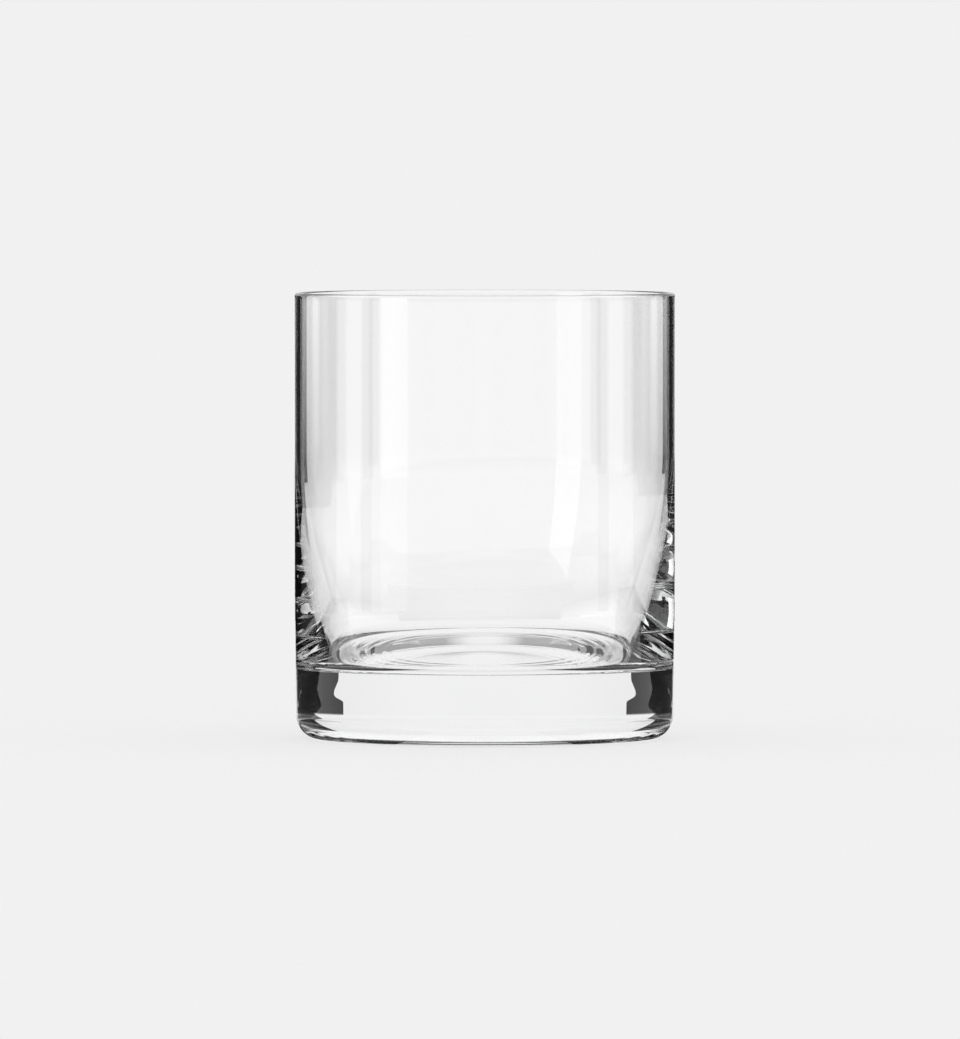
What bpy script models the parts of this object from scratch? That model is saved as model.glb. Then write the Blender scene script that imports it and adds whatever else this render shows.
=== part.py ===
"""A whisky tumbler: one turned body of clear glass with a thick, solid base.

Metres, +Z up. The origin is the centre of the ring that the glass stands on.
The whole shape is one half section, turned about Z.
"""

import math

import bpy

# Overall sizes
RIM_DIAMETER = 0.0800
HEIGHT = 0.0937

# Wall and lip. The lip is fire polished, so it is fully round and as thick as the wall.
WALL = 0.0012

# Outside: straight from the lip, then drawn in a little on the way down to the heel
FOOT_DIAMETER = 0.0794
DRAW_IN_LENGTH = 0.0330
HEEL_RADIUS = 0.0050

# Inside: straight from the lip, then the wall swells inwards and runs into the floor
BASE_THICKNESS = 0.0146
SWELL_LENGTH = 0.0454
SWELL_RADIUS = 0.1650
FLOOR_FILLET = 0.0030

# Underside: a flat ring to stand on round a shallow hollow
STAND_RING_WIDTH = 0.0060
HOLLOW_DEPTH = 0.0008

# Facets
TURN_STEPS = 88
LIP_STEPS = 6
SWELL_STEPS = 10
FILLET_STEPS = 6
DRAW_IN_STEPS = 5
HEEL_STEPS = 6
HOLLOW_STEPS = 4

# Finish
GLASS_COLOUR = (0.98, 0.99, 0.99, 1.0)
GLASS_ROUGHNESS = 0.02
GLASS_IOR = 1.52


def arc(centre, radius, start, end, steps):
    """Points (r, z) on a circle, from one angle to the other, both ends included."""
    turns = [start + (end - start) * i / steps for i in range(steps + 1)]
    return [
        (centre[0] + radius * math.cos(turn), centre[1] + radius * math.sin(turn))
        for turn in turns
    ]


def inside_points():
    """The drinking side, from the middle of the floor up to the foot of the lip."""
    wall_radius = RIM_DIAMETER / 2 - WALL
    swell_top = BASE_THICKNESS + SWELL_LENGTH
    swell_centre = (wall_radius - SWELL_RADIUS, swell_top)

    # The fillet touches the floor below it and the swell beside it.
    fillet_height = BASE_THICKNESS + FLOOR_FILLET
    drop = swell_top - fillet_height
    between_centres = SWELL_RADIUS - FLOOR_FILLET
    fillet_centre = (
        swell_centre[0] + math.sqrt(between_centres**2 - drop**2),
        fillet_height,
    )
    meet = -math.asin(drop / between_centres)

    points = [(0.0, BASE_THICKNESS)]
    points += arc(fillet_centre, FLOOR_FILLET, -math.pi / 2, meet, FILLET_STEPS)
    points += arc(swell_centre, SWELL_RADIUS, meet, 0.0, SWELL_STEPS)[1:]
    return points


def lip_points():
    """The round lip, from the inside of the wall over to the outside."""
    lip_radius = WALL / 2
    centre = (RIM_DIAMETER / 2 - lip_radius, HEIGHT - lip_radius)
    return arc(centre, lip_radius, math.pi, 0.0, LIP_STEPS)


def outside_points():
    """The outer wall below the lip, then the heel."""
    draw_in = (RIM_DIAMETER - FOOT_DIAMETER) / 2
    points = []
    for i in range(DRAW_IN_STEPS):
        share = i / DRAW_IN_STEPS
        height = HEEL_RADIUS + DRAW_IN_LENGTH * (1 - share)
        points.append((RIM_DIAMETER / 2 - draw_in * share**2, height))
    heel_centre = (FOOT_DIAMETER / 2 - HEEL_RADIUS, HEEL_RADIUS)
    return points + arc(heel_centre, HEEL_RADIUS, 0.0, -math.pi / 2, HEEL_STEPS)


def underside_points():
    """The hollow under the base, from the inner edge of the standing ring to the axis."""
    edge = FOOT_DIAMETER / 2 - HEEL_RADIUS - STAND_RING_WIDTH
    radius = (edge**2 + HOLLOW_DEPTH**2) / (2 * HOLLOW_DEPTH)
    centre = (0.0, HOLLOW_DEPTH - radius)
    spread = math.asin(edge / radius)
    upright = math.pi / 2
    rise = arc(centre, radius, upright - spread, upright, HOLLOW_STEPS)
    return rise[:-1] + [(0.0, HOLLOW_DEPTH)]


def turned(name, points):
    """One object made by turning a half section, listed inside first, once about Z."""
    mesh = bpy.data.meshes.new(name)
    corners = [(r, 0.0, z) for r, z in points]
    sides = [(i, i + 1) for i in range(len(points) - 1)]
    mesh.from_pydata(corners, sides, [])
    body = bpy.data.objects.new(name, mesh)

    screw = body.modifiers.new("turn", "SCREW")
    screw.axis = "Z"
    screw.steps = TURN_STEPS
    screw.render_steps = TURN_STEPS
    screw.use_merge_vertices = True
    screw.merge_threshold = 0.00001
    screw.use_smooth_shade = True
    return body


def clear_glass():
    """Clear, colourless glass with a polished face."""
    material = bpy.data.materials.new("clear_glass")
    material.use_nodes = True
    shader = material.node_tree.nodes["Principled BSDF"]
    shader.inputs["Base Color"].default_value = GLASS_COLOUR
    shader.inputs["Roughness"].default_value = GLASS_ROUGHNESS
    shader.inputs["IOR"].default_value = GLASS_IOR
    shader.inputs["Transmission Weight"].default_value = 1.0
    return material


def main():
    for old in list(bpy.data.objects):
        bpy.data.objects.remove(old, do_unlink=True)

    tumbler = bpy.data.collections.new("whisky_tumbler")
    bpy.context.scene.collection.children.link(tumbler)

    section = inside_points() + lip_points() + outside_points() + underside_points()
    glass_body = turned("glass_body", section)
    glass_body.data.materials.append(clear_glass())
    tumbler.objects.link(glass_body)


main()
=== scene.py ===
import math

import bpy
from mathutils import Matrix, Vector


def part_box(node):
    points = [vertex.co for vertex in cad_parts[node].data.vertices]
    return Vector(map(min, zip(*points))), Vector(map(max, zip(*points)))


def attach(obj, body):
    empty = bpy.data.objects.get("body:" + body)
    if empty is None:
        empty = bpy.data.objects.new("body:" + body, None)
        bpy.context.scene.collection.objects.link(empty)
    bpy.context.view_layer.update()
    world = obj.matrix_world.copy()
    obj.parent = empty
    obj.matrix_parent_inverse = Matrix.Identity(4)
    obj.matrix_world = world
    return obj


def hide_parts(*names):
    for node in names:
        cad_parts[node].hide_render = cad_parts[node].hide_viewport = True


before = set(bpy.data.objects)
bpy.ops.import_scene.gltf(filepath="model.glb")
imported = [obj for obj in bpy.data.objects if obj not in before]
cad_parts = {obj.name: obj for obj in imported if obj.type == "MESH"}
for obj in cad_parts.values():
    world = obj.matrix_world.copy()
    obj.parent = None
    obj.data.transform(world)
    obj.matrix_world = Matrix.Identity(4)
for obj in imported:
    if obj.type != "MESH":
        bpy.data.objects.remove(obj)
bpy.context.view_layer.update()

scene = bpy.context.scene
scene.view_settings.view_transform = "Standard"
bounces = {"all": 32, "through": 32, "gloss": 24}  # light goes round inside a thick base
scene.cycles.max_bounces = bounces["all"]
scene.cycles.transmission_bounces = bounces["through"]
scene.cycles.glossy_bounces = bounces["gloss"]


# the glass, metres, turned about Z from one half section

tumbler = {
    "wall": 0.0012,
    "footDrawIn": 0.0003,  # how much the outside narrows by the heel
    "drawInLength": 0.0330,
    "heelRadius": 0.0050,
    "baseThickness": 0.0146,
    "swellLength": 0.0454,
    "swellRadius": 0.1650,
    "floorFillet": 0.0030,
    "standRingWidth": 0.0060,
    "hollowDepth": 0.0008,
    "lean": 0.0005,  # how far the bottom of the drink space is off centre
    "turnSteps": 300,
    "finestStep": 0.0009,  # section between two rows of faces on a curve
    "widestStep": 0.0050,  # and on the straight
    "widestTurn": 3.0,  # degrees between two rows on a small curve
    "fewestRows": 6,
}

ripples = {  # faint rings in the floor, left by the plunger
    "from": 0.0195,
    "spacing": 0.0025,
    "depth": 0.00005,
    "step": 0.00025,
}


def arcPoints(centre, radius, start, end):
    turn = abs(end - start)
    steps = max(
        tumbler["fewestRows"],
        math.ceil(turn * radius / tumbler["finestStep"]),
        math.ceil(turn / math.radians(tumbler["widestTurn"])),
    )
    turns = [start + (end - start) * i / steps for i in range(steps + 1)]
    return [(centre[0] + radius * math.cos(t), centre[1] + radius * math.sin(t)) for t in turns]


def linePoints(start, end):
    length = math.dist(start, end)
    fine, wide = tumbler["finestStep"], tumbler["widestStep"]
    # close rows at both ends, so that a round neighbour's shading stays off the straight
    closeRows = [fine, 3 * fine]
    stretch = length - 2 * closeRows[-1]
    if stretch > wide:
        steps = math.ceil(stretch / wide)
        places = closeRows + [closeRows[-1] + stretch * i / steps for i in range(1, steps)]
        places += [length - place for place in reversed(closeRows)]
    else:
        steps = max(1, math.ceil(length / fine))
        places = [length * i / steps for i in range(1, steps)]
    along = ((end[0] - start[0]) / length, (end[1] - start[1]) / length)
    return [(start[0] + along[0] * place, start[1] + along[1] * place) for place in places]


def ripplePoints(floorEdge):
    reach = floorEdge[0] - ripples["from"]
    steps = math.ceil(reach / ripples["step"])
    points = []
    for i in range(steps):
        share = i / steps
        swing = math.sin(math.tau * share * reach / ripples["spacing"])
        swing *= math.sin(math.pi * share) ** 0.5  # none at either end
        points.append((ripples["from"] + share * reach, floorEdge[1] + ripples["depth"] * swing))
    return points


def glassSection():
    low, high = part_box("glass_body")
    rimRadius = (high.x - low.x) / 2
    height = high.z - low.z
    t = tumbler

    # inside: floor, fillet, swell, straight wall
    innerRadius = rimRadius - t["wall"]
    swellCentre = (innerRadius - t["swellRadius"], t["baseThickness"] + t["swellLength"])
    filletHeight = t["baseThickness"] + t["floorFillet"]
    drop = swellCentre[1] - filletHeight
    reach = t["swellRadius"] - t["floorFillet"]
    filletCentre = (swellCentre[0] + math.sqrt(reach**2 - drop**2), filletHeight)
    meet = -math.asin(drop / reach)
    floorEdge = (filletCentre[0], t["baseThickness"])
    lip = t["wall"] / 2
    inside = [(0.0, t["baseThickness"])]
    inside += linePoints(inside[0], (ripples["from"], t["baseThickness"]))
    inside += ripplePoints(floorEdge)
    inside += arcPoints(filletCentre, t["floorFillet"], -math.pi / 2, meet)
    inside += arcPoints(swellCentre, t["swellRadius"], meet, 0.0)[1:]
    inside += linePoints(inside[-1], (innerRadius, height - lip))
    leaning = []
    for r, z in inside:
        share = min(1.0, max(0.0, (swellCentre[1] - z) / t["swellLength"]))
        leaning.append((r, z, -t["lean"] * share * share * (3 - 2 * share)))

    # over the round lip and down the outside
    outside = arcPoints((rimRadius - lip, height - lip), lip, math.pi, 0.0)
    drawInTop = t["heelRadius"] + t["drawInLength"]
    outside += linePoints(outside[-1], (rimRadius, drawInTop))
    steps = math.ceil(t["drawInLength"] / t["finestStep"])
    for i in range(steps):
        share = i / steps
        outside.append(
            (rimRadius - t["footDrawIn"] * share**2, drawInTop - t["drawInLength"] * share)
        )
    footRadius = rimRadius - t["footDrawIn"]
    heelCentre = (footRadius - t["heelRadius"], t["heelRadius"])
    outside += arcPoints(heelCentre, t["heelRadius"], 0.0, -math.pi / 2)

    # the ring it stands on and the shallow hollow inside it
    ringEdge = heelCentre[0] - t["standRingWidth"]
    hollow = (ringEdge**2 + t["hollowDepth"] ** 2) / (2 * t["hollowDepth"])
    spread = math.asin(ringEdge / hollow)
    outside += linePoints(outside[-1], (ringEdge, 0.0))
    outside += arcPoints(
        (0.0, t["hollowDepth"] - hollow), hollow, math.pi / 2 - spread, math.pi / 2
    )[:-1]
    outside.append((0.0, t["hollowDepth"]))
    return leaning + [(r, z, 0.0) for r, z in outside]


def turnGlass():
    count = tumbler["turnSteps"]
    turns = [math.tau * i / count for i in range(count)]
    corners, rows, faces = [], [], []
    for r, z, aside in glassSection():
        start = len(corners)
        if r == 0.0:  # on the axis
            corners.append((aside, 0.0, z))
            rows.append([start] * count)
        else:
            corners += [(r * math.cos(t) + aside, r * math.sin(t), z) for t in turns]
            rows.append(list(range(start, start + count)))
    for row, after in zip(rows, rows[1:]):
        for i in range(count):
            j = (i + 1) % count
            loop = [row[i], after[i], after[j], row[j]]
            faces.append(list(dict.fromkeys(loop)))
    mesh = bpy.data.meshes.new("tumbler_glass")
    mesh.from_pydata(corners, [], faces)
    mesh.shade_smooth()
    glass = bpy.data.objects.new("tumbler_glass", mesh)
    scene.collection.objects.link(glass)
    return glass


glassFinish = {
    "tint": (1.0, 1.0, 1.0, 1.0),
    "ior": 1.52,
    "roughness": (0.0, 0.010),  # polished, and where it has been handled
    "smudgesPerMetre": 55.0,
    "smudgeDetail": 3.0,
    "smudgeLimits": (0.45, 0.75),  # noise at which smudges start and are full
    "wavesPerMetre": 70.0,  # slow waves that the mould leaves
    "waveDetail": 1.0,
    "waveHeight": 0.000004,
    "thickTint": (0.965, 0.985, 0.978, 1.0),  # faint green that thick glass takes on
    "thickTintDensity": 3.0,
}


def addNoise(tree, scale, detail):
    noise = tree.nodes.new("ShaderNodeTexNoise")
    noise.inputs["Scale"].default_value = scale
    noise.inputs["Detail"].default_value = detail
    place = tree.nodes.new("ShaderNodeTexCoord")
    tree.links.new(place.outputs["Object"], noise.inputs["Vector"])
    return noise.outputs["Fac"]


def makeGlass():
    material = bpy.data.materials.new("clear_glass_finish")
    material.use_nodes = True
    tree = material.node_tree
    shader = tree.nodes["Principled BSDF"]
    shader.inputs["Base Color"].default_value = glassFinish["tint"]
    shader.inputs["IOR"].default_value = glassFinish["ior"]
    shader.inputs["Transmission Weight"].default_value = 1.0

    # a trace of handling in the polish
    smudges = tree.nodes.new("ShaderNodeMapRange")
    start, full = glassFinish["smudgeLimits"]
    smudges.inputs["From Min"].default_value = start
    smudges.inputs["From Max"].default_value = full
    polished, handled = glassFinish["roughness"]
    smudges.inputs["To Min"].default_value = polished
    smudges.inputs["To Max"].default_value = handled
    patches = addNoise(tree, glassFinish["smudgesPerMetre"], glassFinish["smudgeDetail"])
    tree.links.new(patches, smudges.inputs["Value"])
    tree.links.new(smudges.outputs["Result"], shader.inputs["Roughness"])

    # slow waves in the surface
    waves = tree.nodes.new("ShaderNodeBump")
    waves.inputs["Distance"].default_value = glassFinish["waveHeight"]
    swell = addNoise(tree, glassFinish["wavesPerMetre"], glassFinish["waveDetail"])
    tree.links.new(swell, waves.inputs["Height"])
    tree.links.new(waves.outputs["Normal"], shader.inputs["Normal"])

    # the thick base takes a little more out of the light
    thick = tree.nodes.new("ShaderNodeVolumeAbsorption")
    thick.inputs["Color"].default_value = glassFinish["thickTint"]
    thick.inputs["Density"].default_value = glassFinish["thickTintDensity"]
    tree.links.new(thick.outputs["Volume"], tree.nodes["Material Output"].inputs["Volume"])
    return material


glass = turnGlass()
glass.data.materials.append(makeGlass())
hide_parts("glass_body")
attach(glass, "root")
print("glass turned,", len(glass.data.polygons), "faces")


# camera, a long lens from a little above the rim

view = {
    "distance": 3.0,
    "side": -0.0010,
    "height": 0.1424,
    "aim": 0.0460,
    "pictureSize": (960, 1039),
    "millimetresPerPixel": 0.2102,
    "sensor": 36.0,
    "farthest": 50.0,
}


def addCamera():
    camera = bpy.data.objects.new("camera", bpy.data.cameras.new("camera"))
    scene.collection.objects.link(camera)
    camera.location = (view["side"], -view["distance"], view["height"])
    aim = Vector((view["side"], 0.0, view["aim"]))
    sight = aim - camera.location
    camera.rotation_euler = sight.to_track_quat("-Z", "Y").to_euler()
    tall = view["pictureSize"][1] * view["millimetresPerPixel"] / 1000
    camera.data.sensor_width = view["sensor"]
    camera.data.lens = view["sensor"] * sight.length / tall
    camera.data.clip_end = view["farthest"]
    scene.camera = camera


addCamera()
print("camera placed")


# room: even light on the floor, and what the camera sees past the glass

room = {
    "paper": 0.88,
    "ownGlow": 0.75,  # share of the paper's light, for the camera, that no shadow touches
    "floorRadius": 0.62,
    "floorCorners": 128,
    "floorHeight": -0.00005,
    "floorGlowWithPaintedShadow": [  # distance from the axis in metres, level that the glass sees; the dip close by and under the heel is a painted shadow
        (0.030, 0.92), (0.036, 0.75), (0.041, 0.75), (0.048, 0.90), (0.060, 0.86),
        (0.072, 0.80), (0.100, 0.82), (0.120, 0.88), (0.140, 0.92), (0.220, 0.96),
    ],
    "sidePaintedLight": 0.10,  # how much brighter the floor to the left and right is, painted light that the glass sees
    "sideStarts": (0.015, 0.055),
    "sideFades": [(0.10, 1.0), (0.22, 0.80), (0.40, 0.35), (0.60, 0.0)],
    "frontGain": -0.09,  # below 0 the floor in front is darker, a painted shade that the glass sees
    "frontStarts": (0.02, 0.08),
    "windowFrom": 0.0370,  # behind the base the glass looks through the floor
    "windowStarts": (0.020, 0.030),
    "windowFades": (0.105, 0.085),
    "windowSides": (0.048, 0.040),
}


def addNode(tree, kind, **settings):
    node = tree.nodes.new("ShaderNode" + kind)
    for name, value in settings.items():
        setattr(node, name, value)
    return node


def addMath(tree, operation, first, second=None, clamp=False):
    node = addNode(tree, "Math", operation=operation, use_clamp=clamp)
    for socket, value in zip(node.inputs, (first, second)):
        if isinstance(value, (int, float)):
            socket.default_value = value
        elif value is not None:
            tree.links.new(value, socket)
    return node.outputs[0]


def addRamp(tree, value, stops):
    ramp = addNode(tree, "ValToRGB")
    points = ramp.color_ramp.elements
    while len(points) < len(stops):
        points.new(0.5)
    for point, (place, level) in zip(points, stops):
        point.position = place
        point.color = (level, level, level, 1)
    tree.links.new(value, ramp.inputs["Fac"])
    return ramp.outputs["Color"]


def addSpread(tree, value, low, high):
    spread = addNode(tree, "MapRange")
    spread.inputs["From Min"].default_value = low
    spread.inputs["From Max"].default_value = high
    tree.links.new(value, spread.inputs["Value"])
    return spread.outputs["Result"]


def plainMaterial(name):
    material = bpy.data.materials.new(name)
    material.use_nodes = True
    material.node_tree.nodes.clear()
    return material, material.node_tree


def addGlow(tree, colour, strength=1.0):
    glow = addNode(tree, "Emission")
    if colour is not None:
        tree.links.new(colour, glow.inputs["Color"])
    glow.inputs["Strength"].default_value = strength
    return glow.outputs[0]


def addLit(tree):  # 1 for light on its way to the floor
    depth = addNode(tree, "LightPath").outputs["Diffuse Depth"]
    return addMath(tree, "GREATER_THAN", depth, 0.5)


def splitPlace(tree, place):
    parts = addNode(tree, "SeparateXYZ")
    tree.links.new(place, parts.inputs[0])
    return parts.outputs


def addFront(tree, place, starts, gain):  # gain at the front of a place
    start, full = starts
    share = addSpread(tree, splitPlace(tree, place)["Y"], -start, -full)
    return addMath(tree, "ADD", addMath(tree, "MULTIPLY", share, gain), 1.0)


def addPaintedSideLight(tree, place, reach):  # painted light: gain to the left and right, mostly close by
    across = addMath(tree, "ABSOLUTE", splitPlace(tree, place)["X"])
    aside = addSpread(tree, across, *room["sideStarts"])
    share = addMath(tree, "MULTIPLY", aside, addRamp(tree, reach, room["sideFades"]))
    return addMath(tree, "ADD", addMath(tree, "MULTIPLY", share, room["sidePaintedLight"]), 1.0)


def addWindow(tree, place, reach):  # 1 where the glass looks through the floor
    parts = splitPlace(tree, place)
    across = addMath(tree, "ABSOLUTE", parts["X"])
    window = addSpread(tree, parts["Y"], *room["windowStarts"])
    nearEnd = addMath(tree, "GREATER_THAN", reach, room["windowFrom"])
    farEnd = addSpread(tree, reach, *room["windowFades"])
    sides = addSpread(tree, across, *room["windowSides"])
    for limit in (sides, nearEnd, farEnd):
        window = addMath(tree, "MULTIPLY", window, limit)
    return window


def addMix(tree, share, first, second):
    mix = addNode(tree, "MixShader")
    tree.links.new(share, mix.inputs["Fac"])
    tree.links.new(first, mix.inputs[1])
    tree.links.new(second, mix.inputs[2])
    return mix.outputs[0]


def paintRoom():
    world = bpy.data.worlds.new("room")
    scene.world = world
    world.use_nodes = True
    tree = world.node_tree
    path = addNode(tree, "LightPath")
    level = addMath(tree, "MULTIPLY", path.outputs["Is Camera Ray"], room["paper"] - 1)
    level = addMath(tree, "ADD", level, 1.0)
    tree.links.new(level, tree.nodes["Background"].inputs["Strength"])
    tree.nodes["Background"].inputs["Color"].default_value = (1, 1, 1, 1)


def floorPaper():
    material, tree = plainMaterial("floor_paper")
    path = addNode(tree, "LightPath")
    through = addMath(
        tree, "MAXIMUM", path.outputs["Is Glossy Ray"], path.outputs["Is Transmission Ray"]
    )
    glassSees = addMath(tree, "SUBTRACT", through, addLit(tree), clamp=True)

    # glass sees it glowing as if lit evenly, with a painted shadow close by and under the heel
    place = addNode(tree, "TexCoord").outputs["Object"]
    length = addNode(tree, "VectorMath", operation="LENGTH")
    tree.links.new(place, length.inputs[0])
    reach = length.outputs["Value"]
    level = addRamp(tree, reach, room["floorGlowWithPaintedShadow"])
    # painted shade: the floor in front is darker
    front = addFront(tree, place, room["frontStarts"], room["frontGain"])
    level = addMath(tree, "MULTIPLY", level, front)
    # painted light on the floor to the left and right
    level = addMath(tree, "MULTIPLY", level, addPaintedSideLight(tree, place, reach))
    gap = addNode(tree, "BsdfTransparent").outputs[0]
    glow = addMix(tree, addWindow(tree, place, reach), addGlow(tree, level), gap)

    # the camera sees plain paper with a soft shadow
    paper = addNode(tree, "BsdfDiffuse")
    paper.inputs["Color"].default_value = (room["paper"],) * 3 + (1,)
    share = addMath(tree, "MULTIPLY", path.outputs["Is Camera Ray"], room["ownGlow"])
    seen = addMix(tree, share, paper.outputs[0], addGlow(tree, None, room["paper"]))
    surface = addMix(tree, glassSees, seen, glow)
    tree.links.new(surface, addNode(tree, "OutputMaterial").inputs["Surface"])
    return material


def addFloor():
    bpy.ops.mesh.primitive_circle_add(
        vertices=room["floorCorners"],
        radius=room["floorRadius"],
        fill_type="NGON",
        location=(0, 0, room["floorHeight"]),
    )
    floor = bpy.context.object
    floor.name = "floor"
    floor.data.materials.append(floorPaper())


paintRoom()
addFloor()
print("room painted")


# tent, cards and softbox that only the glass sees

def showOnlyToGlass(obj):
    obj.visible_camera = obj.visible_diffuse = obj.visible_shadow = False


tent = {
    "radius": 1000.0,
    "segments": (64, 32),
    "cloth": 0.90,
    "low": 0.96,  # level below the horizon
    "lowFades": (-0.06, -0.03),
    "frontGain": 0.16,
    "frontStarts": (-0.5, 0.2),
    "ceiling": 0.03,
    "ceilingStarts": (-0.0150, -0.0060),
    "patchTilt": 24.0,  # degrees from overhead towards the front
    "patchSize": (6.0, 20.0),  # degrees from its middle, full and gone
    "patchGlow": 0.9,
    "behind": 0.60,  # how much higher the light reaches at the back
    "behindStarts": (0.55, 0.80),
}


def addTent():
    around, upright = tent["segments"]
    bpy.ops.mesh.primitive_uv_sphere_add(
        segments=around, ring_count=upright, radius=tent["radius"]
    )
    ball = bpy.context.object
    ball.name = "tent"
    material, tree = plainMaterial("tent_cloth")
    normal = addNode(tree, "VectorMath", operation="NORMALIZE")
    tree.links.new(addNode(tree, "TexCoord").outputs["Object"], normal.inputs[0])
    way = normal.outputs["Vector"]
    parts = splitPlace(tree, way)
    rise = addSpread(tree, parts["Z"], *tent["lowFades"])
    level = addRamp(tree, rise, [(0.0, tent["low"]), (1.0, tent["cloth"])])
    front = addFront(tree, way, tent["frontStarts"], tent["frontGain"])
    level = addMath(tree, "MULTIPLY", level, front)

    # dark overhead, lower down at the front
    behind = addSpread(tree, parts["Y"], *tent["behindStarts"])
    behind = addMath(tree, "MULTIPLY", behind, -tent["behind"])
    height = addMath(tree, "ADD", parts["Z"], behind)
    height = addMath(tree, "SUBTRACT", height, addLit(tree))
    rise = addSpread(tree, height, *tent["ceilingStarts"])
    ceiling = addRamp(tree, rise, [(0.0, 1.0), (1.0, tent["ceiling"])])
    level = addMath(tree, "MULTIPLY", level, ceiling)

    # a soft patch of light high up
    patch = addNode(tree, "VectorMath", operation="DOT_PRODUCT")
    tree.links.new(way, patch.inputs[0])
    tilt = math.radians(tent["patchTilt"])
    patch.inputs[1].default_value = (0.0, -math.sin(tilt), math.cos(tilt))
    near, far = [math.cos(math.radians(turn)) for turn in tent["patchSize"]]
    share = addSpread(tree, patch.outputs["Value"], far, near)
    level = addMath(
        tree, "MAXIMUM", level, addMath(tree, "MULTIPLY", share, tent["patchGlow"])
    )
    tree.links.new(addGlow(tree, level), addNode(tree, "OutputMaterial").inputs["Surface"])
    ball.data.materials.append(material)
    showOnlyToGlass(ball)


def addCard(name, pieces, glow, along=None, clear=None):
    corners, faces = [], []
    for piece in pieces:
        faces.append(tuple(range(len(corners), len(corners) + len(piece))))
        corners += piece
    mesh = bpy.data.meshes.new(name)
    mesh.from_pydata(corners, [], faces)
    card = bpy.data.objects.new(name, mesh)
    material, tree = plainMaterial(name)
    place = splitPlace(tree, addNode(tree, "TexCoord").outputs["Object"])
    if along:  # glow is a list of places on this axis and levels there
        low, high = glow[0][0], glow[-1][0]
        stops = [((spot - low) / (high - low), level) for spot, level in glow]
        glow = addRamp(tree, addSpread(tree, place[along], low, high), stops)
    shine = addGlow(tree, addMath(tree, "MAXIMUM", addLit(tree), glow))
    if clear:  # thins out to nothing between two heights
        gap = addNode(tree, "BsdfTransparent").outputs[0]
        shine = addMix(tree, addSpread(tree, place["Z"], *clear), shine, gap)
    tree.links.new(shine, addNode(tree, "OutputMaterial").inputs["Surface"])
    card.data.materials.append(material)
    scene.collection.objects.link(card)
    showOnlyToGlass(card)


def standing(start, end, low, top):
    return [(*start, low), (*end, low), (*end, top), (*start, top)]


def lying(outline, height, flip=1):  # flip is -1 for the left side
    return [(flip * x, y, height) for x, y in outline]


edgeCards = {  # far off on both sides, dark, they draw the edges of the wall
    "ends": [
        ((0.22, 1.2), (0.85, 1.2)),
        ((1.2, 0.70), (1.2, 0.22)),
        ((1.2, -0.22), (1.2, -0.40)),
    ],
    "low": -0.4,
    "top": 0.10,
    "glow": 0.015,
}

cornerCards = {  # between them, thinning out upwards
    "ends": [((0.85, 1.2), (1.2, 0.85)), ((1.2, 0.85), (1.2, 0.70))],
    "clear": (0.0, 0.075),
}


def bothSides(cards):
    pieces = []
    for flip in (1, -1):
        for ends in cards["ends"]:
            start, end = [(flip * x, y) for x, y in ends]
            pieces.append(standing(start, end, edgeCards["low"], edgeCards["top"]))
    return pieces


addCard("edgeCards", bothSides(edgeCards), edgeCards["glow"])
addCard("cornerCards", bothSides(cornerCards), edgeCards["glow"], clear=cornerCards["clear"])

blackPaper = {  # on the floor on both sides, at the heel and farther back
    "heel": [
        (0.012, -0.040), (0.022, -0.026), (0.030, -0.010), (0.0355, 0.004), (0.0370, 0.014),
        (0.045, 0.019), (0.050, 0.026), (0.060, 0.022), (0.085, 0.012), (0.085, -0.010),
        (0.050, -0.014), (0.038, -0.026), (0.024, -0.038),
    ],
    "far": [
        (0.076, 0.1425), (0.079, 0.150), (0.120, 0.379), (0.220, 0.940), (0.665, 0.940),
        (0.480, 0.420), (0.580, 0.155), (0.300, 0.080), (0.255, 0.180), (0.180, 0.255),
    ],
    "height": 0.0002,
    "glow": 0.01,
}
pieces = [
    lying(blackPaper[part], blackPaper["height"], flip)
    for part in ("heel", "far")
    for flip in (1, -1)
]
addCard("blackPaper", pieces, blackPaper["glow"])

ribs = {  # fine and black, out along both diagonals of the floor, they stop only flat light
    "first": 0.056,
    "last": 0.600,
    "apart": 0.0008,
    "height": 0.000045,
    "startsBack": 0.040,
    # ends of the ribs: places along the diagonal and across it
    "outer": [(0.0, -0.075), (0.200, -0.075), (0.620, -0.260)],
    "inner": [
        (0.045, -0.018), (0.085, 0.0), (0.106, 0.0113), (0.162, 0.0502), (0.353, 0.183),
        (0.620, 0.370),
    ],
    "glow": 0.015,
}


def acrossAt(line, out):
    for (near, start), (far, end) in zip(line, line[1:]):
        if out <= far:
            return start + (end - start) * (out - near) / (far - near)


diagonal = math.sqrt(0.5)
pieces = []
for i in range(round((ribs["last"] - ribs["first"]) / ribs["apart"])):
    out = ribs["first"] + i * ribs["apart"]
    outer = max(acrossAt(ribs["outer"], out), ribs["startsBack"] / diagonal - out)
    inner = acrossAt(ribs["inner"], out)
    for flip in (1, -1):
        ends = [
            (flip * (out - across) * diagonal, (out + across) * diagonal)
            for across in (outer, inner)
        ]
        pieces.append(standing(*ends, 0.0, ribs["height"]))
addCard("ribs", pieces, ribs["glow"])

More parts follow.
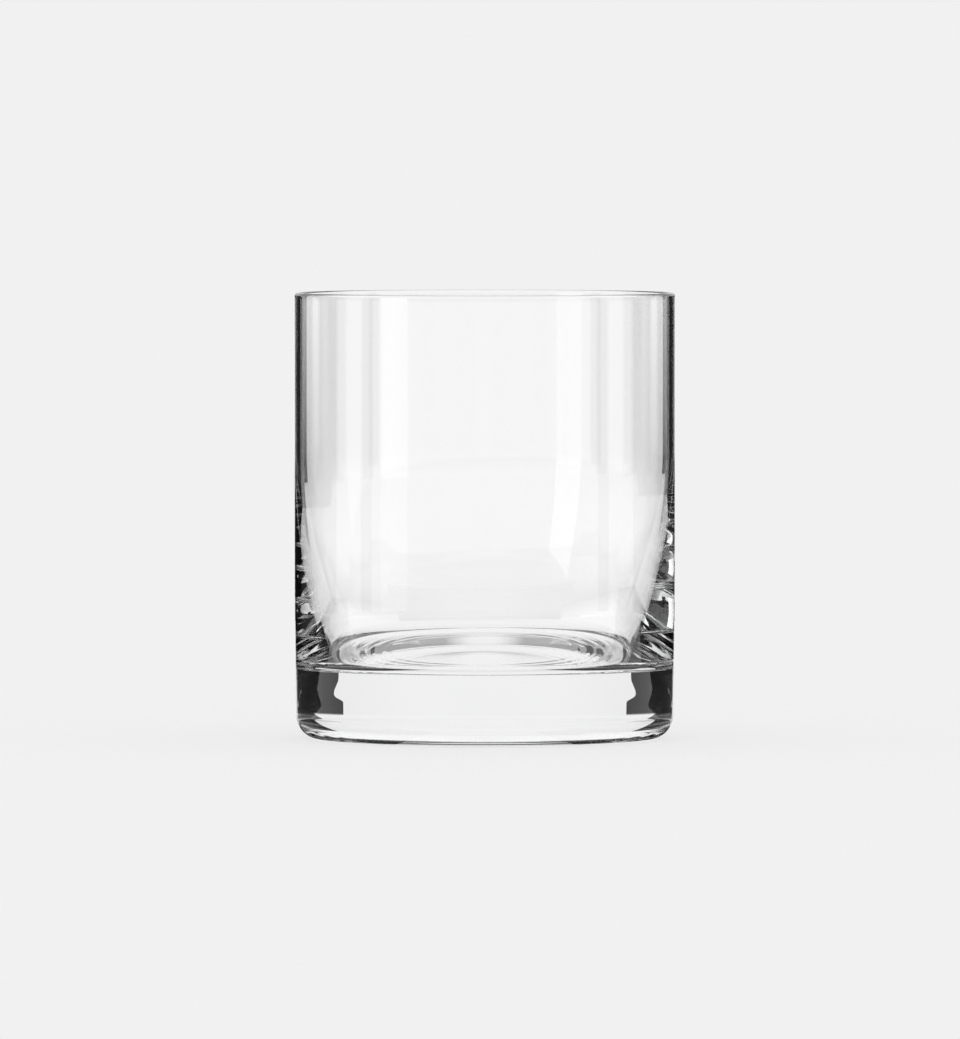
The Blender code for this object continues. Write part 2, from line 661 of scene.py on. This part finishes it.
underFloor = {  # what the glass sees through the floor behind its base
    "paper": [(-0.40, 0.0), (0.40, 0.0), (0.40, 0.46), (-0.40, 0.46)],
    "paperGlow": [  # place from left to right, level
        (-0.40, 1.18), (-0.09, 1.18), (-0.04, 1.02), (0.0, 0.94), (0.04, 1.02), (0.09, 1.18),
        (0.40, 1.18),
    ],
    "paperHeight": -0.051,
    "black": [
        (-0.004, 0.045), (0.10, 0.06), (0.20, 0.10), (0.54, 0.30), (0.61, 0.0), (0.54, -0.30),
        (0.10, -0.30), (0.020, 0.010),
    ],
    "blackHeight": -0.050,
    "blackGlow": 0.01,
}
corners = lying(underFloor["paper"], underFloor["paperHeight"])
addCard("underPaper", [corners], underFloor["paperGlow"], along="X")
pieces = [lying(underFloor["black"], underFloor["blackHeight"], flip) for flip in (1, -1)]
addCard("underBlack", pieces, underFloor["blackGlow"])

sill = {  # low pale strip behind the base, its ends cut to a wavy line
    "away": 0.078,
    "end": [
        (0.0222, 0.0), (0.0222, 0.0060), (0.0226, 0.0063), (0.0240, 0.0066), (0.0262, 0.0070),
        (0.0274, 0.0075), (0.0272, 0.0083), (0.0258, 0.0094), (0.0246, 0.0104), (0.0243, 0.0114),
        (0.0243, 0.0145),
    ],
    "clear": (0.0125, 0.0145),
    "glow": [
        (-0.029, 0.88), (-0.018, 0.88), (-0.006, 0.91), (0.006, 0.91), (0.018, 0.88),
        (0.029, 0.88),
    ],
}
corners = [(x, sill["away"], z) for x, z in sill["end"]]
corners += [(-x, sill["away"], z) for x, z in reversed(sill["end"])]
addCard("sill", [corners], sill["glow"], along="X", clear=sill["clear"])

softbox = {
    "glow": 1.75,
    "away": 1.2,
    "from": 47.0,  # degrees to the left of the front, seen from the glass
    "to": 65.0,
    "low": -0.2,
    "top": 0.25,
}
turns = [math.radians(turn) for turn in (softbox["from"], softbox["to"])]
ends = [(-math.sin(t) * softbox["away"], -math.cos(t) * softbox["away"]) for t in turns]
addCard("softbox", [standing(*ends, softbox["low"], softbox["top"])], softbox["glow"])
addTent()
print("tent and cards stand")
